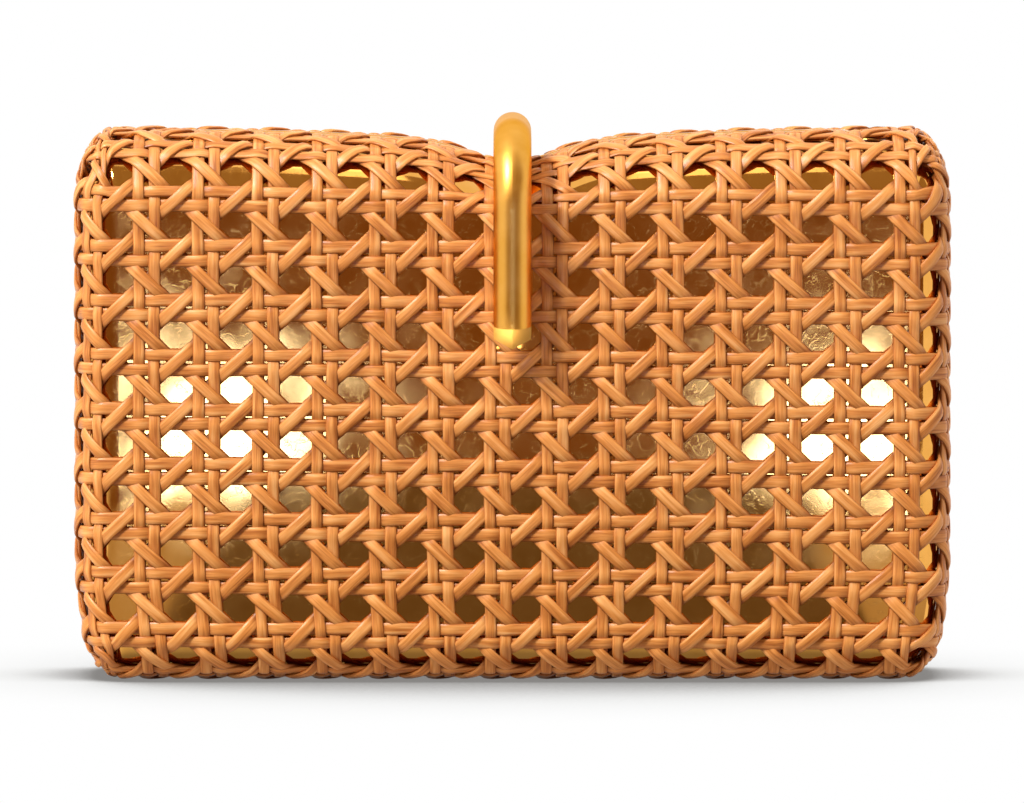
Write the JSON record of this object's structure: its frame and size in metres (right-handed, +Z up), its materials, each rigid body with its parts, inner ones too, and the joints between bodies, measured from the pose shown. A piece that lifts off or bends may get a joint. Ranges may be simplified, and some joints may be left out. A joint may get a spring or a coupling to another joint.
{
  "type": "basket box bag",
  "caption": "Slim rectangular box bag in open cane weave over a gold inner shell, with a soft mouth along the top held shut by a bent brass rod clasp hinged at the back.",
  "frame": {"origin": "middle of the base, on the surface that the bag stands on", "axes": "+Z up, +X along the width, front with the clasp's leg towards -Y"},
  "size_m": [0.199, 0.0726, 0.1278],
  "materials": {
    "cane": "satin split cane, fine lengthwise grain",
    "gold_skin": "metallic gold skin, satin with fine creases",
    "brass": "satin brushed brass"
  },
  "bodies": {
    "bag": {"woven_front": "cane", "woven_back": "cane", "gold_shell_front": "gold_skin", "gold_shell_back": "gold_skin", "mouth_piping": "gold_skin", "hinge_plate": "brass", "hinge_pin": "brass", "plate_rivets": "brass", "backing_plate": "brass"},
    "clasp": {"clasp_rod": "brass"}
  },
  "joints": [
    {"name": "clasp_swing", "type": "hinge", "parent": "bag", "child": "clasp", "pos_m": [0, 0.03168, 0.0995], "axis": [-1, 0, 0], "range_deg": [0, 150]}
  ]
}
